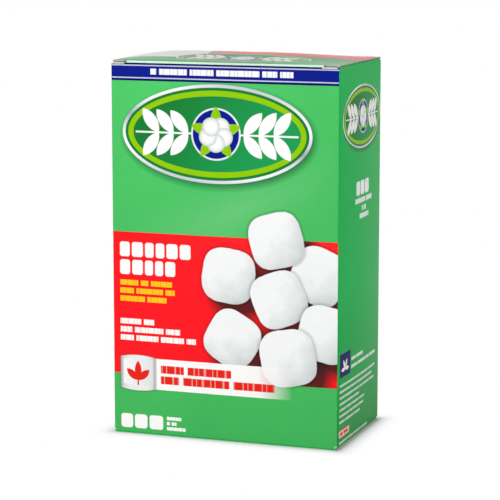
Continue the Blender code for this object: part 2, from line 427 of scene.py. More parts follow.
def worded(colour, x, z, groups):
    # Groups of words: ink, strength, left, top, the words in each row, pitch and height
    for ink, strength, *layout in groups:
        mask = wordRows(x, z, *layout)
        colour = paintOver(colour, inks[ink], mask if strength == 1 else mask * strength)
    return colour


def panelPlace(tree, left, bottom=0.0):
    # Millimetres across and up a panel, from the blank's coordinates
    blank = makeNode(tree, "ShaderNodeUVMap", {"uv_map": "blank"})
    x = blank.make("ShaderNodeSeparateXYZ", {}, {0: blank})
    z = x.output("Y")
    return x / mm - left / mm, z / mm - bottom / mm


def boardPlace(tree):
    return makeNode(tree, "ShaderNodeTexCoord", {}, {}, "Object")


def printedBoard(tree, colour, place):
    # Ink on varnished board: faint blotches in the ink, uneven gloss and the board's fine tooth
    blotch = noise(place, 45.0, 3.0, 0.6)
    tooth = noise(place, 1400.0, 2.0, 0.6)
    mottled = shaded(colour, blotch * 0.10 + tooth * 0.05 + 0.925)
    gloss = blotch * 0.08 + tooth * 0.04 + 0.12
    wave = noise(place, 160.0, 2.0, 0.5)
    surface = bumps(tooth * 0.25 + wave, 0.25, 0.10 * mm)
    finishMaterial(tree, {"Base Color": mottled, "Roughness": gloss, "Normal": surface, **varnish})


def printedPanel(name, leg, painter, bottom=0.0):
    # A panel's material, from what its painter prints at each place in millimetres
    made, tree = newMaterial(name)
    x, z = panelPlace(tree, panelLeft(leg), bottom)
    place = boardPlace(tree)
    printedBoard(tree, painter(x, z, place), place)
    return made


def wornFold(colour, x, edges, place):
    # Ink cracked along a fold, so that the white board shows in flecks
    crack = noise(place, 900.0, 3.0, 0.7)
    for edge in edges:
        near = (1 - abs(x - edge) / 0.7).clamped()
        colour = paintOver(colour, inks["bare"], (near * (crack - 0.62) * 12).clamped() * 0.4)
    return colour


bareBoard, tree = newMaterial("bare board")
place = boardPlace(tree)
flecks = noise(place, 700.0, 4.0, 0.7)
pulp = noise(place, 60.0, 2.0, 0.5)
finishMaterial(tree, {
    "Base Color": shaded(paintOver(inks["pulp"], inks["darkPulp"], pulp), flecks * 0.30 + 0.85),
    "Roughness": flecks * 0.1 + 0.8,
    "Normal": bumps(flecks, 0.5, 0.06 * mm),
})


# Designs that are printed more than once, or that are long, as node groups

badgeShape = {
    "size": (95.6, 47.0),
    "rings": (1.5, 2.9, 5.6),  # from the edge in to the dark green, the lime and the field
    "disc": 25.0,
    "boll": 21.0,
    "leaves": (  # how far out, and lean
        (14.0, 40), (21.5, 38), (29.0, 36),
        (14.0, 140), (21.5, 142), (29.0, 144),
    ),
    "leafSize": (14.0, 6.0),
}


def badgeFrame(colour, x, z, place):
    # A wide oval badge round 0, 0: a soft shadow, a silver rim, green and lime rings and a field
    size, rings = badgeShape["size"], badgeShape["rings"]
    fall = ovalShape(x, z, (1.0, -1.5), size)
    colour = paintOver(colour, (0.004, 0.07, 0.03), filled(fall - 0.6, 4.2) * 0.72)
    edge = ovalShape(x, z, (0, 0), size)
    sheen = abs(((z / size[1] + x / size[0] * 0.4) * 5.2).sums("SINE"))
    silver = paintOver((0.36, 0.38, 0.45), (0.86, 0.88, 0.90), sheen)
    colour = paintOver(colour, silver, filled(edge))
    colour = inked(colour, "darkGreen", edge + rings[0])
    colour = inked(colour, "lime", edge + rings[1])
    glow = (x / size[0] * 1.6 - z / size[1] * 0.5 + 0.5).clamped()
    return paintOver(colour, paintOver(inks["darkGreen"], inks["midGreen"], glow), filled(edge + rings[2]))


def badgeSprig(colour, x, z, place):
    # A stem with leaves to both sides of the badge's middle, drawn once and mirrored
    x = abs(x)
    colour = inked(colour, "white", boxShape(x, z, (25, 0), (32, 0.9)))
    for reach, lean in badgeShape["leaves"]:
        colour = inked(colour, "white", leafShape(x, z, (reach, 0), *badgeShape["leafSize"], lean))
    return colour


def badgeBoll(colour, x, z, place):
    # A blue disc and an open cotton boll: pointed bracts behind five round lobes, shaded where they turn away
    size = badgeShape["boll"]
    disc = circleShape(x, z, (0, 0), badgeShape["disc"])
    colour = paintOver(colour, (0.72, 0.76, 0.80), filled(disc))
    colour = inked(colour, "blue", disc + 0.9)
    for lean in (-72, 72, 0, 144, -144):
        colour = inked(colour, "lime", leafShape(x, z, (0, 0), size * 0.62, size * 0.26, lean))
    for number in range(5):
        turn = 2 * math.pi * (number + 0.5) / 5
        lobe = (0.20 * size * math.sin(turn), 0.20 * size * math.cos(turn))
        edge = circleShape(x, z, lobe, size * 0.43)
        rounding = (edge / (size * 0.13) + 1).clamped()
        tint = paintOver(inks["white"], (0.52, 0.58, 0.58), rounding * rounding)
        colour = paintOver(colour, tint, filled(edge))
    return colour


puffLook = {
    "wobble": 0.10,  # of the edge
    "halo": (1.12, 0.14, 0.42),  # where the dark round it starts, how far in it grows, and its depth
    "slope": (0.34, 0.40),  # how fast it darkens to the right and downwards
    "round": 0.24,  # how much darker its edge is
    "clouds": 0.75,
    "fluff": 0.35,
    "dark": 0.04,  # all over
    "tints": ((0.865, 0.87, 0.875), (0.48, 0.54, 0.535)),  # in the light and in the dark
    "shadowOff": (5.4, -5.2),
    "shadow": (1.30, 0.44, 0.92),  # where it starts, how far in it grows, and its depth
}


def puff(colour, x, z, place):
    # A squarish cotton ball 2 across round 0, 0: k is the cube root of the summed cubes of both distances, 1
    # at its edge. It darkens what is close to it, and it is shaded to its lower right
    look = puffLook
    wobble = (noise(place, 90.0, 3.0, 0.55) - 0.5) * look["wobble"]
    k = (abs(x) ** 3 + abs(z) ** 3) ** (1 / 3) + wobble
    start, grown, depth = look["halo"]
    colour = shaded(colour, 1 - ((start - k) / grown).clamped() * depth)
    cloud = noise(place, 110.0, 3.0, 0.6)
    fluff = noise(place, 700.0, 4.0, 0.7)
    slope = x * look["slope"][0] - z * look["slope"][1]
    dark = slope + k * k * k * k * look["round"]
    dark = dark + (cloud - 0.5) * look["clouds"] + (fluff - 0.5) * look["fluff"]
    tint = paintOver(*look["tints"], (dark + look["dark"]).clamped())
    return paintOver(colour, tint, filled(k - 1, 0.02))


def puffShadows(colour, x, z, place):
    # The balls' dark soft shadows, cast to the lower right
    offX, offZ = puffLook["shadowOff"]
    start, grown, depth = puffLook["shadow"]
    for middle, size, lean in frontLayout["puffs"]:
        u, w = turned(x, z, (middle[0] + offX, middle[1] + offZ), lean)
        cast = ((abs(u) / (size / 2)) ** 3 + (abs(w) / (size / 2)) ** 3) ** (1 / 3)
        colour = paintOver(colour, inks["shadow"], ((start - cast) / grown).clamped() * depth)
    return colour


def titleBlocks(colour, x, z, place):
    # Two rows of large white blocks
    tall, corner, space = frontLayout["titleShape"]
    for level, widths in frontLayout["title"]:
        across = frontLayout["margin"]
        for block in widths:
            middle = (across + block / 2, level - tall / 2)
            colour = inked(colour, "white", boxShape(x, z, middle, (block, tall), corner))
            across += block + space
    return colour


def silverTile(colour, x, z, place):
    # A silvery tile round 0, 0 with bowed top and bottom and a sprig of three red leaves
    wide, tall = frontLayout["tile"][1]
    rimGreys = (0.80, 0.80, 0.80), (0.33, 0.34, 0.36)
    faceGreys = (0.70, 0.70, 0.71), (0.90, 0.90, 0.90)
    u = x / (wide / 2)
    bow = u * u * 1.1
    edge = (abs(z) - (tall / 2 - bow)).atLeast(abs(x) - wide / 2)
    colour = paintOver(colour, (0.02, 0.05, 0.03), filled(edge - 0.3, 1.6) * 0.5)
    colour = paintOver(colour, paintOver(*rimGreys, abs(u) ** 5), filled(edge))
    inner = (abs(z - 0.4) - (tall / 2 - 2.0 - bow)).atLeast(abs(x) - (wide / 2 - 1.5))
    colour = paintOver(colour, paintOver(*faceGreys, u * -0.5 + 0.5), filled(inner))
    for lean, long in ((0, 9.6), (-48, 8.0), (48, 8.0)):
        colour = inked(colour, "rust", leafShape(x, z, (0, -3.6), long, 3.5, lean))
    return inked(colour, "rust", boxShape(x, z, (0, -4.6), (0.8, 3.0)))


frontLayout = {
    "margin": 3.9,
    # Painted shade: below this height the ground grows darker towards the bottom
    "paintedShadeBelow": 60,
    "dots": (6.6, 0.40),  # beat and depth
    "glow": ((30, 60), (200, 130)),  # a painted pool of light: where it starts, and how far it runs
    "paintedSheen": ((57, 109), 0.4, 20),  # a painted pale sheen: a point on it, its slope and half its width
    "paintedSheenFade": (62, 60),  # its middle and its reach from there
    "blueBand": 9.4,
    "navyEdge": 0.7,  # at the bottom of the blue band
    "blueTop": 180.4,
    "hairlines": ((179.9, 0.5), (174.0, 0.5)),  # middle and width
    "redBand": (29.9, 99.6),  # bottom and top
    "redSheen": ((10, 55), (90, 50), 0.6),  # a painted sheen on the red: where it starts, how far it grows, and its depth
    "badge": (53.8, 148.3),
    "title": ((94.7, (5.2, 5.8, 4.5, 4.5, 5.8, 5.6)), (86.0, (5.3, 5.6, 4.2, 4.2, 5.2))),  # top, widths
    "titleShape": (7.2, 1.3, 1.1),  # height, corner and space
    "puffs": (  # middle, size and lean, from the back one to the front one
        ((105.0, 83.0), 27.0, 22),
        ((84.0, 99.0), 26.5, -14),
        ((60.0, 81.0), 26.5, 8),
        ((85.5, 71.0), 26.5, -22),
        ((108.5, 55.5), 27.0, 12),
        ((62.0, 50.5), 26.5, 30),
        ((90.0, 43.0), 27.5, -10),
    ),
    "tile": ((13.0, 30.4), (18.4, 17.6)),  # middle and size
    "strip": ((22.0, 92.0), (22.7, 38.0)),  # from and to, across and up
    "stripFade": 17,  # how far its right end fades
    "countBlocks": ((3.8, 6.2), (11.0, 6.6), (18.7, 7.2)),  # left and width
    "countShape": (6.2, 7.0, 1.5),  # middle, height and corner
    "slitWear": (7.0, 8.5, 180.5),  # how far in from the left and the right, and from what height
    "speck": (0.4, 3.0, 3.0),  # height, width and unevenness
}
frontWords = {
    "band": (("white", 1, 20.5, 178.5, ((3.0, 14.2, 12.0, 21.5, 7.4, 6.5),), 4.0, 2.8),),
    "offer": (
        ("yellow", 1, 3.9, 76.1, ((9.5, 4.1, 11.0), (7.2, 14.0, 4.8), (13.0, 10.0)), 3.95, 2.6),
        ("white", 1, 3.9, 57.1, ((11.0, 5.4), (6.2, 15.0, 7.4), (7.0, 11.6, 12.0, 4.8)), 4.05, 2.7),
    ),
    "strip": (("rust", 1, 25.0, 34.9, ((12.0, 22.4), (9.5, 24.0, 21.0)), 5.3, 3.9),),
    "count": (("white", 1, 27.8, 9.6, ((7.6,), (1.6, 2.6), (9.8,)), 2.55, 1.7),),
}
designs = {
    name: designGroup(name, painter)
    for name, painter in (
        ("badge frame", badgeFrame),
        ("badge sprig", badgeSprig),
        ("badge boll", badgeBoll),
        ("puff", puff),
        ("puff shadows", puffShadows),
        ("title blocks", titleBlocks),
        ("silver tile", silverTile),
    )
}


def badgeOver(colour, x, z, middle, width, place):
    # The whole badge at any width
    scale = badgeShape["size"][0] / width
    x, z = (x - middle[0]) * scale, (z - middle[1]) * scale
    for name in ("badge frame", "badge sprig", "badge boll"):
        colour = printed(designs[name], colour, x, z, place)
    return colour


def countBlocks(colour, x, z, lay):
    # A row of rounded white blocks
    middle, tall, corner = lay["countShape"]
    for left, long in lay["countBlocks"]:
        colour = inked(colour, "white", boxShape(x, z, (left + long / 2, middle), (long, tall), corner))
    return colour


def frontGround(x, z, place):
    # Green, with painted shade that darkens it towards the bottom, a painted pool of light towards the top
    # left, fine printed dots from two sine waves and a painted pale sheen in a slanting band, and the red
    # band with a painted sheen and the balls' printed shadows
    lay = frontLayout
    beat, depth = lay["dots"]
    dots = (x * beat).sums("SINE") * (z * beat).sums("SINE")
    # A painted pool of light, lighter towards the top left, laid with the printed dots
    (fromX, fromZ), (acrossX, acrossZ) = lay["glow"]
    glow = ((z - fromZ) / acrossZ - abs(x - fromX) / acrossX).clamped()
    # Painted shade: the green darkens towards the bottom
    low = ((lay["paintedShadeBelow"] - z) / lay["paintedShadeBelow"]).clamped()
    colour = paintOver(inks["green"], inks["paintedShadeGreen"], low)
    colour = paintOver(colour, inks["brightGreen"], glow + dots * depth)
    # A painted pale sheen in a slanting band
    (rayX, rayZ), slope, half = lay["paintedSheen"]
    fadeX, fade = lay["paintedSheenFade"]
    paintedSheen = (1 - abs(z - rayZ - (x - rayX) * slope) / half).clamped() * (1 - abs(x - fadeX) / fade).clamped()
    colour = paintOver(colour, inks["paintedSheenGreen"], paintedSheen)

    onRed = filled(bandShape(z, *lay["redBand"]))
    # A painted sheen on the red band, towards its upper right
    (fromX, fromZ), (acrossX, acrossZ), depth = lay["redSheen"]
    sheen = ((x - fromX) / acrossX).clamped() * ((z - fromZ) / acrossZ).clamped() * depth
    reds = paintOver(inks["red"], inks["orangeRed"], sheen)
    return paintOver(colour, printed(designs["puff shadows"], reds, x, z, place), onRed)


def frontPrint(x, z, place):
    wide, tall = width / mm, height / mm
    lay = frontLayout
    colour = frontGround(x, z, place)

    # Pictured cotton balls and the badge
    for middle, size, lean in lay["puffs"]:
        u, w = turned(x, z, middle, lean)
        colour = printed(designs["puff"], colour, u / (size / 2), w / (size / 2), place)
    colour = badgeOver(colour, x, z, lay["badge"], badgeShape["size"][0], place)

    # Blue band at the top
    bandLow = tall - lay["blueBand"]
    colour = inked(colour, "navy", bandLow - z)
    onBlue = filled(bandLow + lay["navyEdge"] - z) * filled(z - lay["blueTop"])
    colour = paintOver(colour, inks["blue"], onBlue)
    for middle, thick in lay["hairlines"]:
        colour = inked(colour, "silver", abs(z - middle) - thick / 2, soft=0.3)
    colour = worded(colour, x, z, frontWords["band"])

    # Large white blocks, then yellow and white rows
    colour = printed(designs["title blocks"], colour, x, z, place)
    colour = worded(colour, x, z, frontWords["offer"])

    # Strip and tile
    (fromX, toX), (fromZ, toZ) = lay["strip"]
    strip = boxShape(x, z, ((fromX + toX) / 2, (fromZ + toZ) / 2), (toX - fromX, toZ - fromZ))
    colour = paintOver(colour, inks["white"], filled(strip) * ((toX - x) / lay["stripFade"]).clamped())
    colour = worded(colour, x, z, frontWords["strip"])
    middle = lay["tile"][0]
    colour = printed(designs["silver tile"], colour, x - middle[0], z - middle[1], place)

    # A row of blocks at the bottom, with small rows beside it
    colour = countBlocks(colour, x, z, lay)
    colour = worded(colour, x, z, frontWords["count"])

    # Wear: cracked ink along the folds, worn ends of the lid's slits and a bare speck at a corner
    colour = wornFold(colour, x, (0.2, wide - 0.2), place)
    leftIn, rightIn, above = lay["slitWear"]
    slitEnds = (leftIn - x).atLeast(x - (wide - rightIn)).atMost(z - above)
    colour = inked(colour, "bare", 0 - slitEnds, 0.9, 0.3)
    level, size, uneven = lay["speck"]
    speck = circleShape(x, z, (wide, level), size) + (noise(place, 900.0, 3.0, 0.6) - 0.5) * uneven
    return inked(colour, "bare", speck, soft=0.4)


sideLayout = {
    # Painted shade: below this height the green grows darker towards the bottom
    "paintedShadeBelow": 75,
    "badge": ((36.2, 155.8), 62.0),  # middle and width
    "countBlocks": ((25.5, 5.6), (32.0, 6.4), (39.3, 6.8)),  # left and width
    "countShape": (121.7, 6.8, 1.5),
    "tile": ((10.6, 39.8), (15.0, 11.4)),  # middle and size
    "leaves": ((10.6, 37.6), 5.4, 2.0),  # foot, length and width
    "label": ((10.6, 6.7), (16.2, 3.9)),
    "labelRim": 0.45,
}
sideWords = {
    "count": (
        ("white", 0.9, 24.0, 116.9, ((16.0, 10.5),), 4, 2.4),
        ("white", 0.9, 34.4, 112.9, ((2.0, 3.6),), 4, 2.4),
        ("white", 0.9, 31.0, 109.2, ((15.0,),), 4, 2.4),
    ),
    "tile": (
        ("white", 0.85, 19.6, 41.4, ((7.0, 10.5), (9.0, 12.5, 6.0, 11.0)), 3.8, 1.6),
        ("white", 0.75, 3.2, 30.8, (
            (9, 14, 7, 12, 13), (16, 8, 11, 15), (7, 13, 9, 5, 10, 9), (12, 9, 8), (10, 7, 12, 8),
            (15, 5, 8, 8), (8, 13, 10),
        ), 2.95, 1.15),
    ),
    "label": (
        ("rust", 1, 4.2, 7.6, ((4.5, 7.0),), 4, 1.8),
        ("white", 0.7, 2.8, 3.1, ((14, 9, 12, 10),), 4, 1.1),
    ),
}


def sidePrint(x, z, place):
    lay = sideLayout
    # Painted shade: the green darkens towards the bottom
    low = ((lay["paintedShadeBelow"] - z) / lay["paintedShadeBelow"]).clamped()
    colour = paintOver(inks["sideGreen"], inks["lowSideGreen"], low)
    colour = badgeOver(colour, x, z, *lay["badge"], place)
    colour = countBlocks(colour, x, z, lay)
    colour = worded(colour, x, z, sideWords["count"])

    # Navy tile with a plain leaf, and rows of small print beside and below it
    colour = inked(colour, "tileNavy", boxShape(x, z, *lay["tile"]))
    for lean in (-90, -30, 30, 90):
        colour = inked(colour, "white", leafShape(x, z, *lay["leaves"], lean))
    colour = worded(colour, x, z, sideWords["tile"])

    # Label at the bottom
    label = boxShape(x, z, *lay["label"])
    colour = inked(colour, "rust", label)
    colour = inked(colour, "pink", label + lay["labelRim"])
    colour = worded(colour, x, z, sideWords["label"])
    return wornFold(colour, x, (0.2, depth / mm - 0.2), place)


def plainPanel():
    # The panels and flaps that the photo doesn't show, in plain green
    made, tree = newMaterial("plain green print")
    place = boardPlace(tree)
    colour = paintOver(inks["sideGreen"], inks["plainGreen"], noise(place, 20.0))
    printedBoard(tree, colour, place)
    return made


lidLayout = {
    "darkUntil": (45, 15),  # how far from the hinge, and how far the change takes
    "red": (-1.0, 32.0),  # from and to, out from the hinge
    "white": (-1.0, 49.0),
    "border": (31.0, 0.17),  # between them, from the left end at the hinge, and its slope
    "badge": ((60.0, 21.0), 68.0),  # middle and width
    "crease": (1.2, 3.0),  # the pale fold and its painted highlight: half its width and how sharp its edges are
}


def lidPrint(x, z, place):
    across = width / mm - x  # the lid's print reads from the front
    deep = depth / mm
    lay = lidLayout
    start, change = lay["darkUntil"]
    colour = paintOver(inks["lowSideGreen"], inks["sideGreen"], ((z - start) / change).clamped())
    border, slope = lay["border"]
    strip = bandShape(z, *lay["red"]).atLeast(border + z * slope - across)
    colour = inked(colour, "red", strip)
    pale = bandShape(z, *lay["white"]).atLeast(across - border - z * slope)
    colour = inked(colour, "white", pale)
    colour = badgeOver(colour, across, deep - z, *lay["badge"], place)
    # The stretched ink is pale round the tuck fold, and a painted highlight lies along it as well
    half, sharp = lay["crease"]
    crease = 1 - abs(z - (deep - half)) / half
    return paintOver(colour, inks["mint"], (crease * sharp).clamped())


materials = {
    "front": printedPanel("front panel print", "front", frontPrint),
    "side": printedPanel("side panel print", "side", sidePrint),
    "plain": plainPanel(),
    "lid": printedPanel("top lid print", "back", lidPrint, height),
    "bare": bareBoard,
}
print("board printed")


# Carton: the tube with its glue flap, dust flaps and raw strips

cartonShape = {
    "bow": {"glue": 0.0, "back": 0.8 * mm, "side": 1.0 * mm, "front": 0.8 * mm, "left": 1.0 * mm},
    "waviness": 0.07 * mm,
    "dustFlap": 40.0 * mm,  # from the outside of the side panel
    "dustStraight": 14.0 * mm,
    "dustTaper": 6.0 * mm,
    "dustCorner": 5.0 * mm,
    "dustEdge": 32.145 * mm,  # half the width of a dust flap at its root
    "dustSag": 1.4 * mm,
    "dustWarp": 0.35 * mm,
}
cartonSlots = {"front": 0, "side": 1, "plain": 2}
cartonPaints = [materials[name] for name in ("front", "side", "plain", "bare")]


def legStations(name):
    # Where a leg is cut across its length; the side legs are also cut where their dust flaps start and end
    length = legs[name]["length"]
    if name == "glue":
        return np.linspace(0, length, 7)
    if name in ("side", "left"):
        edges = back - radius - cartonShape["dustEdge"]
        far = 2 * back - 2 * radius - edges
        return joinStations([0], evenly(edges, far, board["panelCells"]), [length])
    return evenly(0, length, board["panelCells"])


def bowedOut(name, along, z):
    # How far a panel bows: a parabola across it times a flat-topped crown up it, and a little waviness
    t = along / legs[name]["length"]
    v = (z - wallLow) / (wallHigh - wallLow)
    shape = crown(t) * crown(np.clip(v, 0, 1), 4)
    start, run = legs[name]["start"], legs[name]["along"]
    points = np.stack(np.broadcast_arrays(start[0] + run[0] * along, start[1] + run[1] * along, z), axis=-1)
    waves = ripple(points, 60 * mm, 11) * cartonShape["waviness"] * shape ** 0.5
    return cartonShape["bow"][name] * shape + waves


def legGrid(name, along, z):
    # Points of a leg's straight run at every distance along it and height
    leg = legs[name]
    along, z = np.meshgrid(along, z, indexing="ij")
    off = bowedOut(name, along, z) if name != "glue" else 0 * z
    xy = leg["start"] + along[..., None] * leg["along"] + off[..., None] * leg["out"]
    grid = np.concatenate([xy, z[..., None]], axis=-1)
    blank = np.stack([blankWidth - leg["walked"] - along, z], axis=-1)
    return grid, blank


def foldGrid(name, z):
    # The quarter circle after a leg, from facing the leg's way out to facing along it
    leg = legs[name]
    turn = np.linspace(0, math.pi / 2, board["arcCells"] + 1)
    turn, z = np.meshgrid(turn, z, indexing="ij")
    centre = leg["start"] + leg["along"] * leg["length"] - leg["out"] * radius
    ways = np.cos(turn)[..., None] * leg["out"] + np.sin(turn)[..., None] * leg["along"]
    grid = np.concatenate([centre + radius * ways, z[..., None]], axis=-1)
    blank = np.stack([blankWidth - leg["walked"] - leg["length"] - turn * radius, z], axis=-1)
    return grid, blank


def halfAndHalf(first, second):
    # A fold's slots: half of its cells belong to the panel before it and half to the one after
    cells = np.arange(board["arcCells"])[:, None]
    return np.where(cells < board["arcCells"] / 2, first, second)


def dustFlap(leg, top):
    # Round a fold from its panel's end, then straight in, narrowing to rounded corners and sagging
    shape = cartonShape
    side = legs[leg]
    stations = legStations(leg)[1:-1]
    across = stations - side["length"] / 2 if leg == "side" else stations - (back - radius)
    turn = np.linspace(0, math.pi / 2, board["arcCells"] + 1)
    reach = shape["dustFlap"] - radius
    straight = evenly(0, reach, 22)[1:]
    out = np.concatenate([radius * np.cos(turn), -straight]) - radius  # along the panel's way out
    rise = np.concatenate([radius * np.sin(turn), np.full(len(straight), radius)])
    walked = np.concatenate([turn * radius, quarter + straight])
    inwards = np.maximum(walked - quarter, 0)

    taper = shape["dustTaper"] * np.clip((inwards + radius - shape["dustStraight"])
                                         / (shape["dustFlap"] - shape["dustStraight"]), 0, 1)
    past = np.clip(inwards - (reach - shape["dustCorner"]), 0, shape["dustCorner"])
    corner = shape["dustCorner"] - np.sqrt(shape["dustCorner"] ** 2 - past ** 2)
    narrow = 1 - (taper + corner) / shape["dustEdge"]
    sag = shape["dustSag"] * (inwards / reach) ** 1.6

    across, out = np.meshgrid(across, out, indexing="ij")
    xy = (legs[leg]["start"] + legs[leg]["along"] * (across * narrow + (back - radius))[..., None]
          + legs[leg]["out"] * out[..., None])
    waves = ripple(np.concatenate([xy, 0 * xy[..., :1]], axis=-1), 50 * mm, 5 + top)
    level = rise - sag - waves * shape["dustWarp"] * (inwards / reach)
    z = wallHigh + level if top else wallLow - level
    grid = np.concatenate([xy, z[..., None]], axis=-1)
    v = wallHigh + walked if top else wallLow - walked
    blank = np.stack(np.broadcast_arrays(blankWidth - side["walked"] - across - (back - radius), v), axis=-1)
    if not top:
        grid, blank = grid[:, ::-1], blank[:, ::-1]
    return grid, blank, cartonSlots["plain"]


def cartonPatches():
    heights = evenly(wallLow, wallHigh, board["heightCells"])
    patches = []
    names = list(legs)
    panelSlots = {name: cartonSlots.get(name, cartonSlots["plain"]) for name in names}
    for name, after in zip(names, names[1:] + [None]):
        grid, blank = legGrid(name, legStations(name), heights)
        if name == "glue":
            # Its free edge is cut back at both ends
            free = 1 - legStations(name)[:, None] / board["glueFlap"]
            ends = np.clip(2 * (heights - wallLow) / (wallHigh - wallLow) - 1, -1, 1)
            grid[..., 2] -= board["glueTaper"] * free * ends ** 3
        patches.append((grid, blank, panelSlots[name]))
        if after:
            patches.append((*foldGrid(name, heights), halfAndHalf(panelSlots[name], panelSlots[after])))
    strips = (
        ("front", wallHigh, height - board["frontDrop"]),
        ("front", radius, wallLow),
        ("back", wallHigh, height - radius),
        ("back", board["edgeDrop"], wallLow),
    )
    for name, low, high in strips:
        grid, blank = legGrid(name, legStations(name), np.linspace(low, high, 4))
        patches.append((grid, blank, panelSlots[name]))
    for leg in ("side", "left"):
        for top in (True, False):
            patches.append(dustFlap(leg, top))
    return patches


carton = addSheet("carton_sheet", cartonPatches(), cartonPaints)
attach(carton, "carton")
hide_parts("carton")
print("carton folded")


# Lids, in their hinge's frame: the hinge is the X axis, the panel runs to -Y and its outside faces up

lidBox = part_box("top_lid")
lidShape = {
    "half": lidBox[1][0],
    "reach": back - lidBox[0][1],  # from the hinge to the outside of the tuck fold
    "tuck": 15.0 * mm,
    "tuckSpare": math.radians(1.0),
    "tuckHalf": 55.45 * mm,
    "tuckCorner": 9.0 * mm,
    "slit": 7.5 * mm,
    "slitWidth": 0.2 * mm,
    "slitHole": 1.0 * mm,
    "bulge": 2.0 * mm,
    "brow": (0.5 * mm, 2.5 * mm),  # the quick rise just behind the tuck fold, and how far it takes
    "waviness": 0.06 * mm,
}


def lidPatches(hinge, bottom):
    shape = lidShape
    slitEnd = shape["half"] - shape["slit"]
    lean = math.asin(shape["tuck"] / (2 * shape["reach"])) + shape["tuckSpare"]
    middle = evenly(-slitEnd, slitEnd, board["panelCells"])
    hole = slitEnd + shape["slitHole"]
    ends = np.linspace(hole, shape["half"], 4)
    across = joinStations(-ends, middle, ends)
    front = -shape["reach"] + radius
    bulge = 0 if bottom else shape["bulge"]

    def patch(x, path, level, walked):
        # Points for every x along a path of y and z; path and level may also change with x
        x, y, z, walked = np.broadcast_arrays(x, path, level, walked)
        points = np.stack([x, y, z], axis=-1)
        if bottom:
            points = points * (1, -1, -1)
            blank = np.stack([panelLeft("front") + right + x, radius - walked], axis=-1)
        else:
            blank = np.stack([panelLeft("back") + right - x, height - radius + walked], axis=-1)
        return points + np.array(hinge), blank, 0

    # Crease, then the panel
    turn = np.linspace(0, math.pi / 2, board["arcCells"] + 1)
    crease = patch(across[:, None], radius * (np.cos(turn) - 1), radius * (np.sin(turn) - 1), radius * turn)
    t = evenly(0, 1, 30)
    along = -radius + t * (front + radius)
    aside = across / shape["half"] + 0.35
    humped = np.where(aside < 0, 1 - 0.7 * (aside / 0.65) ** 4, 1 - np.abs(aside / 1.35) ** 2.6)
    arch = bulge * humped
    flatPoints = np.stack(np.broadcast_arrays(across[:, None], along, 0.0), axis=-1)
    wavy = ripple(flatPoints, 45 * mm, 3) * shape["waviness"]
    # The bulge is highest towards the hinge: a half sine wave over a power of the way from the tuck fold. The
    # brow in front of it rises along an exponential curve and sinks back towards the hinge
    browRise, browRun = shape["brow"]
    brow = browRise * (1 - np.exp(-(along - front) / browRun)) * (1 - (1 - t) ** 4)
    level = arch[:, None] * np.sin(math.pi * (1 - t) ** 1.8) + wavy * crown(t, 4)
    level = level + (arch / shape["bulge"])[:, None] * brow
    if bottom:
        level = level * 0
    walked = quarter - radius - along
    panel = patch(across[:, None], along, level, walked)

    # Flat ends past the slits, and the fold between them
    halfFold = (radius - board["thickness"] / 2) * (math.pi / 2 + lean) / 2 - shape["slitWidth"] / 2
    run = np.linspace(0, halfFold, 3)
    flat = [patch(x[:, None], front - run, 0 * run, walked[-1] + run) for x in (-ends[::-1], ends)]
    turn = np.linspace(0, math.pi / 2 + lean, board["arcCells"] + 1)
    fold = patch(middle[:, None], front - radius * np.sin(turn), radius * (np.cos(turn) - 1),
                 walked[-1] + radius * turn)

    # Tuck flap, straight from the fold, with rounded corners at its tip
    run = evenly(0, shape["tuck"], 16)
    past = np.clip(run - (shape["tuck"] - shape["tuckCorner"]), 0, shape["tuckCorner"])
    cut = shape["tuckCorner"] - np.sqrt(shape["tuckCorner"] ** 2 - past ** 2)
    ears = np.linspace(slitEnd, shape["tuckHalf"], 4)
    wide = joinStations(-ears, middle, ears)
    tipY = front - radius * math.cos(lean) + run * math.sin(lean)
    tipZ = -radius - radius * math.sin(lean) - run * math.cos(lean)
    narrowed = wide[:, None] * (1 - cut / shape["tuckHalf"])
    tuck = patch(narrowed, tipY, tipZ, walked[-1] + radius * turn[-1] + run)
    return [crease, panel, *flat, fold, tuck]


patches = lidPatches((0, back, height), False)
topLid = addSheet("top_lid_sheet", patches, [materials["lid"], materials["bare"]])
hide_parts("top_lid")
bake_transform(topLid)
patches = lidPatches((0, -back, 0), True)
bottomLid = addSheet("bottom_lid_sheet", patches, [materials["plain"], materials["bare"]])
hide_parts("bottom_lid")
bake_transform(bottomLid)
print("lids folded")


# Cotton balls: soft squarish puffs that fill their cells, in one piece for each layer

ballShape = {
    "power": (2.4, 2.9),  # exponents of the rounded cube, 2 being a ball
    "lumps": ((1.3, 0.045), (0.55, 0.022), (0.22, 0.010)),  # length and depth, in halves of a ball
    "inset": 0.05,  # of the surface before it is dented
    "gap": 0.12 * mm,  # round each of the lower balls
    "fineCells": 20,
    "plainCells": 12,
    "hiddenCells": 8,
}


def cubeGrids(cells):
    # The six sides of a cube from -1 to 1, spaced so that their cells are even once pushed out to a ball
    line = np.tan(np.linspace(-math.pi / 4, math.pi / 4, cells + 1))
    a, b = np.meshgrid(line, line, indexing="ij")
    for axis in range(3):
        for side in (1, -1):
            grid = np.empty((*a.shape, 3))
            grid[..., axis] = side
            grid[..., (axis + 1) % 3] = b if side > 0 else a
            grid[..., (axis + 2) % 3] = a if side > 0 else b
            yield grid


def ballPatches(low, high, seed, cells):
    # A rounded cube, dented by ripples of three lengths, then scaled to fill its box
    draw = np.random.default_rng(seed)
    power = draw.uniform(*ballShape["power"])
    grids = np.stack(list(cubeGrids(cells)))
    round_ = grids / (np.abs(grids) ** power).sum(axis=-1, keepdims=True) ** (1 / power)
    depths = sum(deep * ripple(round_, long, seed * 7 + number)
                 for number, (long, deep) in enumerate(ballShape["lumps"]))
    dented = round_ * (1 - ballShape["inset"] + depths)[..., None]
    reach = np.abs(dented).reshape(-1, 3).max(axis=0)
    low, high = np.array(low), np.array(high)
    placed = (low + high) / 2 + dented / reach * (high - low) / 2
    return [(grid, grid[..., :2] * 0, 0) for grid in placed]


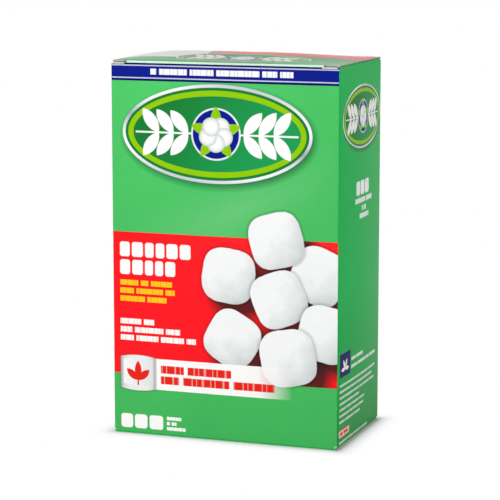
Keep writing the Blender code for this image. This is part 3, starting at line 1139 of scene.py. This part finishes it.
cotton, tree = newMaterial("cotton")
place = boardPlace(tree)
swirl = place.make("ShaderNodeVectorMath", {"operation": "MULTIPLY_ADD"}, {
    0: place.make("ShaderNodeTexNoise", {}, {"Vector": place, "Scale": 120.0, "Detail": 2.0}, 1),
    1: (0.012, 0.012, 0.012),
    2: place,
})
fibres = noise(swirl, 900.0, 4.0, 0.75)
tufts = noise(swirl, 260.0, 3.0, 0.6)
finishMaterial(tree, {
    "Base Color": paintOver((0.80, 0.81, 0.80), (0.95, 0.95, 0.94), (tufts * 0.7 + fibres * 0.6).clamped()),
    "Roughness": 0.95,
    "Specular IOR Level": 0.15,
    "Sheen Weight": 0.35,
    "Sheen Roughness": 0.6,
    "Normal": bumps(tufts + fibres * 0.6, 0.9, 0.5 * mm),
})


def addBalls(name, patches, nodes):
    piece = addPiece(name, meshFrom(name, patches), [cotton])
    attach(piece, "carton")
    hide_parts(*nodes)


single = sorted(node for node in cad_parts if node.startswith("cotton_ball_"))
levels = {}
for node in single:
    levels.setdefault(round(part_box(node)[0][2], 4), []).append(node)
topLevels = sorted(levels)[-2:]
for number, (level, nodes) in enumerate(sorted(levels.items())):
    cells = ballShape["fineCells"] if level in topLevels else ballShape["plainCells"]
    patches = []
    for node in nodes:
        patches += ballPatches(*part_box(node), single.index(node) + 1, cells)
    addBalls(f"cotton_layer_{number + 6}", patches, nodes)

# The joined lower balls become single ones again, on the same grid of cells
blockLow, blockHigh = (np.array(corner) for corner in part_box("lower_cotton_balls"))
ballLow, ballHigh = (np.array(corner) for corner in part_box(single[0]))
counts = np.round((blockHigh - blockLow) / (ballHigh - ballLow)).astype(int)
cell = (blockHigh - blockLow) / counts
patches = []
for number in range(int(counts.prod())):
    index = np.array(np.unravel_index(number, counts))
    low = blockLow + index * cell + ballShape["gap"]
    cells = ballShape["plainCells"] if index[2] == 0 else ballShape["hiddenCells"]
    patches += ballPatches(low, low + cell - 2 * ballShape["gap"], 100 + number, cells)
addBalls("lower_cotton_layers", patches, ["lower_cotton_balls"])
print("cotton balls packed")


# Stage, lamps and camera

stage = {
    "floorHalf": 14.0,
    "floorColour": (0.86, 0.86, 0.86),
    "whiteFrom": 0.016,  # how far out from the carton the floor is all white, where it is seen or mirrored
    "surround": 0.16,
}


def seenRays(tree):
    # 1 for rays from the camera and for mirrored and transmitted ones, 0 for the rest
    camera = makeNode(tree, "ShaderNodeLightPath", {}, {}, "Is Camera Ray")
    return camera.atLeast(camera.output("Is Glossy Ray")).atLeast(camera.output("Is Transmission Ray"))


floorMaterial, tree = newMaterial("floor")
place = boardPlace(tree)
x = place.make("ShaderNodeSeparateXYZ", {}, {0: place})
outX, outY = (abs(x) - right).atLeast(0), (abs(x.output("Y")) - back).atLeast(0)
close = (1 - (outX * outX + outY * outY) ** 0.5 / stage["whiteFrom"]).clamped()
seen = seenRays(tree)
matte = makeNode(tree, "ShaderNodeBsdfDiffuse", {}, {"Color": (*stage["floorColour"], 1)})
white = makeNode(tree, "ShaderNodeEmission", {}, {"Color": (1, 1, 1, 1), "Strength": 1.0})
whitening = seen * (1 - close ** 4)
mixed = makeNode(tree, "ShaderNodeMixShader", {}, {0: whitening, 1: matte, 2: white})
makeNode(tree, "ShaderNodeOutputMaterial", {}, {"Surface": mixed})
half = stage["floorHalf"]
floorMesh = bpy.data.meshes.new("floor")
floorCorners = [(-half, -half, 0), (half, -half, 0), (half, half, 0), (-half, half, 0)]
floorMesh.from_pydata(floorCorners, [], [(0, 1, 2, 3)])
floor = addPiece("floor", floorMesh, [floorMaterial])

world = bpy.data.worlds.new("surround")
bpy.context.scene.world = world
world.use_nodes = True
tree = world.node_tree
tree.nodes.clear()
light = seenRays(tree) * (1.0 - stage["surround"]) + stage["surround"]
surround = makeNode(tree, "ShaderNodeBackground", {}, {"Color": (1, 1, 1, 1), "Strength": light})
makeNode(tree, "ShaderNodeOutputWorld", {}, {"Surface": surround})


def softbox(name, place, target, size, power):
    lamp = bpy.data.lights.new(name, "AREA")
    lamp.shape = "RECTANGLE"
    lamp.size, lamp.size_y = size
    lamp.energy = power
    made = bpy.data.objects.new(name, lamp)
    bpy.context.scene.collection.objects.link(made)
    made.location = place
    made.rotation_euler = (Vector(target) - Vector(place)).to_track_quat("-Z", "Y").to_euler()


softbox("key", (-0.55, -1.08, 0.42), (0, -0.03, 0.10), (0.5, 0.5), 9.6)
softbox("fill", (1.20, -0.55, 0.30), (0.05, 0, 0.09), (0.5, 0.5), 7.6)
softbox("top", (-0.33, 0.0, 1.15), (0, 0, 0.18), (0.35, 0.2), 1.8)
softbox("back", (-0.60, 0.85, 0.90), (0, 0.03, 0.12), (0.4, 0.4), 3.6)

view = {
    "azimuth": 19.6,
    "elevation": 9.0,
    "distance": 5.66,  # in heights of the carton
    "aimRight": 0.006,
    "aimUp": -0.016,
    "lens": 151.1,
}
turn, rise = math.radians(view["azimuth"]), math.radians(view["elevation"])
toCamera = Vector((math.sin(turn) * math.cos(rise), -math.cos(turn) * math.cos(rise), math.sin(rise)))
acrossView = Vector((math.cos(turn), math.sin(turn), 0))
upView = toCamera.cross(acrossView)
aim = Vector((0, 0, height / 2)) + height * (view["aimRight"] * acrossView + view["aimUp"] * upView)
cameraData = bpy.data.cameras.new("camera")
cameraData.lens = view["lens"]
cameraData.sensor_width = 36
cameraData.clip_start, cameraData.clip_end = 0.05, 60
camera = bpy.data.objects.new("camera", cameraData)
bpy.context.scene.collection.objects.link(camera)
camera.location = aim + view["distance"] * height * toCamera
camera.rotation_euler = toCamera.to_track_quat("Z", "Y").to_euler()
bpy.context.scene.camera = camera
bpy.context.scene.view_settings.view_transform = "Standard"
print("stage lit")
